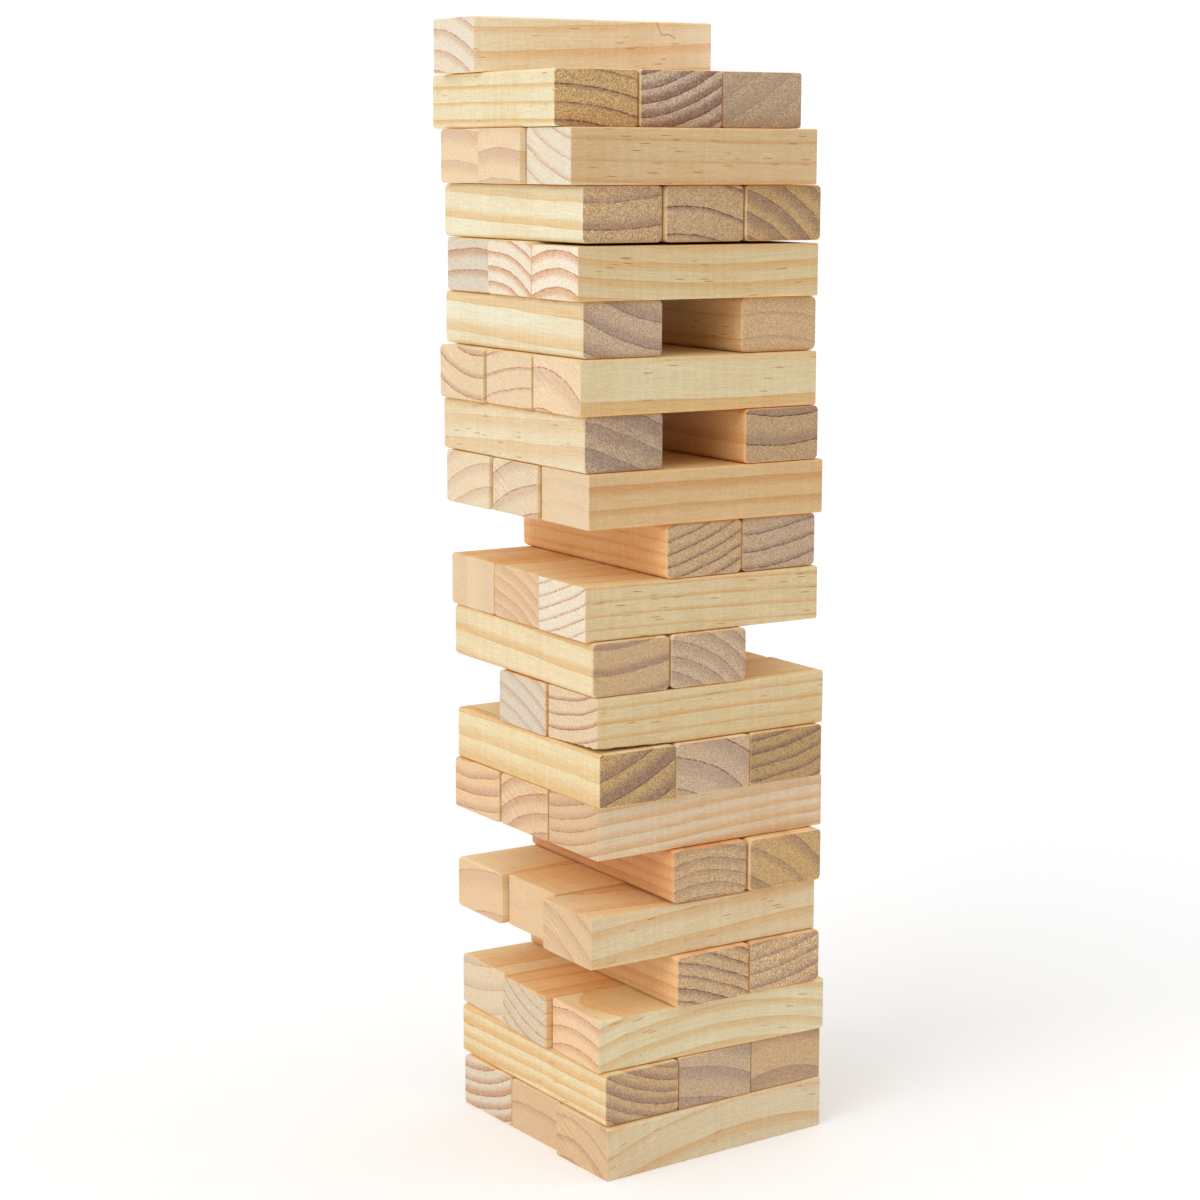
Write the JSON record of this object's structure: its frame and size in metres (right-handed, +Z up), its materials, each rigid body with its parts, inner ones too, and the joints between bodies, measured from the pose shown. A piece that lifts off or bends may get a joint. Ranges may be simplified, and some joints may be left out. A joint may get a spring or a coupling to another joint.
{
  "type": "giant tumbling tower",
  "caption": "Stacking game part-way through play: loose oblong pine blocks laid side by side in crosswise levels, with some taken out.",
  "frame": {"origin": "on the ground under the tower's centre line, on the underside of the bottom level's middle block", "axes": "+Z up the tower; odd levels from the ground have blocks that run along X, even levels have blocks that run along Y; -Y and -X are the two faces first seen"},
  "size_m": [0.1684, 0.1749, 0.6234],
  "materials": {
    "pine_pale": "bare sanded pine, matt, no lacquer",
    "pine_honey": "bare sanded pine, matt, no lacquer",
    "pine_tan": "bare sanded pine, matt, no lacquer"
  },
  "bodies": {
    "level_01_middle": {"level_01_middle": "pine_tan"},
    "level_01_back": {"level_01_back": "pine_honey"},
    "level_01_front": {"level_01_front": "pine_pale"},
    "level_02_left": {"level_02_left": "pine_pale"},
    "level_02_middle": {"level_02_middle": "pine_honey"},
    "level_02_right": {"level_02_right": "pine_tan"},
    "level_03_back": {"level_03_back": "pine_pale"},
    "level_03_front": {"level_03_front": "pine_pale"},
    "level_03_middle": {"level_03_middle": "pine_tan"},
    "level_04_middle": {"level_04_middle": "pine_honey"},
    "level_04_right": {"level_04_right": "pine_tan"},
    "level_05_back": {"level_05_back": "pine_pale"},
    "level_05_front": {"level_05_front": "pine_pale"},
    "level_05_middle": {"level_05_middle": "pine_honey"},
    "level_06_middle": {"level_06_middle": "pine_tan"},
    "level_06_right": {"level_06_right": "pine_honey"},
    "level_07_back": {"level_07_back": "pine_honey"},
    "level_07_front": {"level_07_front": "pine_pale"},
    "level_07_middle": {"level_07_middle": "pine_honey"},
    "level_08_left": {"level_08_left": "pine_honey"},
    "level_08_middle": {"level_08_middle": "pine_pale"},
    "level_08_right": {"level_08_right": "pine_tan"},
    "level_09_front": {"level_09_front": "pine_pale"},
    "level_09_middle": {"level_09_middle": "pine_tan"},
    "level_10_left": {"level_10_left": "pine_honey"},
    "level_10_middle": {"level_10_middle": "pine_honey"},
    "level_11_back": {"level_11_back": "pine_honey"},
    "level_11_front": {"level_11_front": "pine_pale"},
    "level_11_middle": {"level_11_middle": "pine_pale"},
    "level_12_middle": {"level_12_middle": "pine_honey"},
    "level_12_right": {"level_12_right": "pine_tan"},
    "level_13_back": {"level_13_back": "pine_pale"},
    "level_13_front": {"level_13_front": "pine_tan"},
    "level_13_middle": {"level_13_middle": "pine_honey"},
    "level_14_left": {"level_14_left": "pine_honey"},
    "level_14_right": {"level_14_right": "pine_tan"},
    "level_15_back": {"level_15_back": "pine_pale"},
    "level_15_front": {"level_15_front": "pine_pale"},
    "level_15_middle": {"level_15_middle": "pine_honey"},
    "level_16_left": {"level_16_left": "pine_pale"},
    "level_16_right": {"level_16_right": "pine_honey"},
    "level_17_back": {"level_17_back": "pine_tan"},
    "level_17_front": {"level_17_front": "pine_pale"},
    "level_17_middle": {"level_17_middle": "pine_pale"},
    "level_18_left": {"level_18_left": "pine_pale"},
    "level_18_middle": {"level_18_middle": "pine_honey"},
    "level_18_right": {"level_18_right": "pine_honey"},
    "level_19_back": {"level_19_back": "pine_honey"},
    "level_19_front": {"level_19_front": "pine_honey"},
    "level_19_middle": {"level_19_middle": "pine_pale"},
    "level_20_left": {"level_20_left": "pine_pale"},
    "level_20_middle": {"level_20_middle": "pine_honey"},
    "level_20_right": {"level_20_right": "pine_tan"},
    "level_21_back": {"level_21_back": "pine_pale"}
  },
  "joints": [
    {"name": "lift_level_21_back", "type": "slide", "parent": "level_01_middle", "child": "level_21_back", "axis": [0, 0, 1], "range_m": [0, 0.1]},
    {"name": "push_level_20_right", "type": "slide", "parent": "level_01_middle", "child": "level_20_right", "axis": [0.0698, 0.9976, 0], "range_m": [-0.16, 0.16]},
    {"name": "push_level_20_middle", "type": "slide", "parent": "level_01_middle", "child": "level_20_middle", "axis": [0.0698, 0.9976, 0], "range_m": [-0.16, 0.16]},
    {"name": "push_level_20_left", "type": "slide", "parent": "level_01_middle", "child": "level_20_left", "axis": [0.0698, 0.9976, 0], "range_m": [-0.16, 0.16]},
    {"name": "push_level_19_middle", "type": "slide", "parent": "level_01_middle", "child": "level_19_middle", "axis": [0.9986, -0.0523, 0], "range_m": [-0.16, 0.16]},
    {"name": "push_level_19_front", "type": "slide", "parent": "level_01_middle", "child": "level_19_front", "axis": [0.9986, -0.0523, 0], "range_m": [-0.16, 0.16]},
    {"name": "push_level_19_back", "type": "slide", "parent": "level_01_middle", "child": "level_19_back", "axis": [0.9986, -0.0523, 0], "range_m": [-0.16, 0.16]},
    {"name": "push_level_18_right", "type": "slide", "parent": "level_01_middle", "child": "level_18_right", "axis": [0.0087, 1, 0], "range_m": [-0.16, 0.16]},
    {"name": "push_level_18_middle", "type": "slide", "parent": "level_01_middle", "child": "level_18_middle", "axis": [0.0087, 1, 0], "range_m": [-0.16, 0.16]},
    {"name": "push_level_18_left", "type": "slide", "parent": "level_01_middle", "child": "level_18_left", "axis": [0.0087, 1, 0], "range_m": [-0.16, 0.16]},
    {"name": "push_level_17_middle", "type": "slide", "parent": "level_01_middle", "child": "level_17_middle", "axis": [0.9997, -0.0262, 0], "range_m": [-0.16, 0.16]},
    {"name": "push_level_17_front", "type": "slide", "parent": "level_01_middle", "child": "level_17_front", "axis": [0.9997, -0.0262, 0], "range_m": [-0.16, 0.16]},
    {"name": "push_level_17_back", "type": "slide", "parent": "level_01_middle", "child": "level_17_back", "axis": [0.9997, -0.0262, 0], "range_m": [-0.16, 0.16]},
    {"name": "push_level_16_right", "type": "slide", "parent": "level_01_middle", "child": "level_16_right", "axis": [0.0087, 1, 0], "range_m": [-0.16, 0.16]},
    {"name": "push_level_16_left", "type": "slide", "parent": "level_01_middle", "child": "level_16_left", "axis": [0.0087, 1, 0], "range_m": [-0.16, 0.16]},
    {"name": "push_level_15_middle", "type": "slide", "parent": "level_01_middle", "child": "level_15_middle", "axis": [1, -0.0087, 0], "range_m": [-0.16, 0.16]},
    {"name": "push_level_15_front", "type": "slide", "parent": "level_01_middle", "child": "level_15_front", "axis": [1, -0.0087, 0], "range_m": [-0.16, 0.16]},
    {"name": "push_level_15_back", "type": "slide", "parent": "level_01_middle", "child": "level_15_back", "axis": [1, -0.0087, 0], "range_m": [-0.16, 0.16]},
    {"name": "push_level_14_right", "type": "slide", "parent": "level_01_middle", "child": "level_14_right", "axis": [-0.0087, 1, 0], "range_m": [-0.16, 0.16]},
    {"name": "push_level_14_left", "type": "slide", "parent": "level_01_middle", "child": "level_14_left", "axis": [-0.0087, 1, 0], "range_m": [-0.16, 0.16]},
    {"name": "push_level_13_middle", "type": "slide", "parent": "level_01_middle", "child": "level_13_middle", "axis": [1, -0.0087, 0], "range_m": [-0.16, 0.16]},
    {"name": "push_level_13_front", "type": "slide", "parent": "level_01_middle", "child": "level_13_front", "axis": [1, -0.0087, 0], "range_m": [-0.16, 0.16]},
    {"name": "push_level_13_back", "type": "slide", "parent": "level_01_middle", "child": "level_13_back", "axis": [1, -0.0087, 0], "range_m": [-0.16, 0.16]},
    {"name": "push_level_12_right", "type": "slide", "parent": "level_01_middle", "child": "level_12_right", "axis": [-0.0087, 1, 0], "range_m": [-0.16, 0.16]},
    {"name": "push_level_12_middle", "type": "slide", "parent": "level_01_middle", "child": "level_12_middle", "axis": [-0.0087, 1, 0], "range_m": [-0.16, 0.16]},
    {"name": "push_level_11_middle", "type": "slide", "parent": "level_01_middle", "child": "level_11_middle", "axis": [1, -0.0087, 0], "range_m": [-0.16, 0.16]},
    {"name": "push_level_11_front", "type": "slide", "parent": "level_01_middle", "child": "level_11_front", "axis": [1, -0.0087, 0], "range_m": [-0.16, 0.16]},
    {"name": "push_level_11_back", "type": "slide", "parent": "level_01_middle", "child": "level_11_back", "axis": [1, -0.0087, 0], "range_m": [-0.16, 0.16]},
    {"name": "push_level_10_middle", "type": "slide", "parent": "level_01_middle", "child": "level_10_middle", "axis": [0, 1, 0], "range_m": [-0.16, 0.16]},
    {"name": "push_level_10_left", "type": "slide", "parent": "level_01_middle", "child": "level_10_left", "axis": [0, 1, 0], "range_m": [-0.16, 0.16]},
    {"name": "push_level_09_middle", "type": "slide", "parent": "level_01_middle", "child": "level_09_middle", "axis": [0.9998, 0.0175, 0], "range_m": [-0.16, 0.16]},
    {"name": "push_level_09_front", "type": "slide", "parent": "level_01_middle", "child": "level_09_front", "axis": [0.9998, 0.0175, 0], "range_m": [-0.16, 0.16]},
    {"name": "push_level_08_right", "type": "slide", "parent": "level_01_middle", "child": "level_08_right", "axis": [-0.0175, 0.9998, 0], "range_m": [-0.16, 0.16]},
    {"name": "push_level_08_middle", "type": "slide", "parent": "level_01_middle", "child": "level_08_middle", "axis": [-0.0175, 0.9998, 0], "range_m": [-0.16, 0.16]},
    {"name": "push_level_08_left", "type": "slide", "parent": "level_01_middle", "child": "level_08_left", "axis": [-0.0175, 0.9998, 0], "range_m": [-0.16, 0.16]},
    {"name": "push_level_07_middle", "type": "slide", "parent": "level_01_middle", "child": "level_07_middle", "axis": [0.9998, 0.0175, 0], "range_m": [-0.16, 0.16]},
    {"name": "push_level_07_front", "type": "slide", "parent": "level_01_middle", "child": "level_07_front", "axis": [0.9998, 0.0175, 0], "range_m": [-0.16, 0.16]},
    {"name": "push_level_07_back", "type": "slide", "parent": "level_01_middle", "child": "level_07_back", "axis": [0.9998, 0.0175, 0], "range_m": [-0.16, 0.16]},
    {"name": "push_level_06_right", "type": "slide", "parent": "level_01_middle", "child": "level_06_right", "axis": [-0.0087, 1, 0], "range_m": [-0.16, 0.16]},
    {"name": "push_level_06_middle", "type": "slide", "parent": "level_01_middle", "child": "level_06_middle", "axis": [-0.0087, 1, 0], "range_m": [-0.16, 0.16]},
    {"name": "push_level_05_middle", "type": "slide", "parent": "level_01_middle", "child": "level_05_middle", "axis": [0.9998, 0.0175, 0], "range_m": [-0.16, 0.16]},
    {"name": "push_level_05_front", "type": "slide", "parent": "level_01_middle", "child": "level_05_front", "axis": [0.9998, 0.0175, 0], "range_m": [-0.16, 0.16]},
    {"name": "push_level_05_back", "type": "slide", "parent": "level_01_middle", "child": "level_05_back", "axis": [0.9998, 0.0175, 0], "range_m": [-0.16, 0.16]},
    {"name": "push_level_04_right", "type": "slide", "parent": "level_01_middle", "child": "level_04_right", "axis": [-0.0349, 0.9994, 0], "range_m": [-0.16, 0.16]},
    {"name": "push_level_04_middle", "type": "slide", "parent": "level_01_middle", "child": "level_04_middle", "axis": [-0.0349, 0.9994, 0], "range_m": [-0.16, 0.16]},
    {"name": "push_level_03_middle", "type": "slide", "parent": "level_01_middle", "child": "level_03_middle", "axis": [1, -0.0087, 0], "range_m": [-0.16, 0.16]},
    {"name": "push_level_03_front", "type": "slide", "parent": "level_01_middle", "child": "level_03_front", "axis": [1, -0.0087, 0], "range_m": [-0.16, 0.16]},
    {"name": "push_level_03_back", "type": "slide", "parent": "level_01_middle", "child": "level_03_back", "axis": [1, -0.0087, 0], "range_m": [-0.16, 0.16]},
    {"name": "push_level_02_right", "type": "slide", "parent": "level_01_middle", "child": "level_02_right", "axis": [-0.0349, 0.9994, 0], "range_m": [-0.16, 0.16]},
    {"name": "push_level_02_middle", "type": "slide", "parent": "level_01_middle", "child": "level_02_middle", "axis": [-0.0349, 0.9994, 0], "range_m": [-0.16, 0.16]},
    {"name": "push_level_02_left", "type": "slide", "parent": "level_01_middle", "child": "level_02_left", "axis": [-0.0349, 0.9994, 0], "range_m": [-0.16, 0.16]},
    {"name": "push_level_01_front", "type": "slide", "parent": "level_01_middle", "child": "level_01_front", "axis": [0.9981, 0.061, 0], "range_m": [-0.16, 0.16]},
    {"name": "push_level_01_back", "type": "slide", "parent": "level_01_middle", "child": "level_01_back", "axis": [0.9981, 0.061, 0], "range_m": [-0.16, 0.16]}
  ]
}
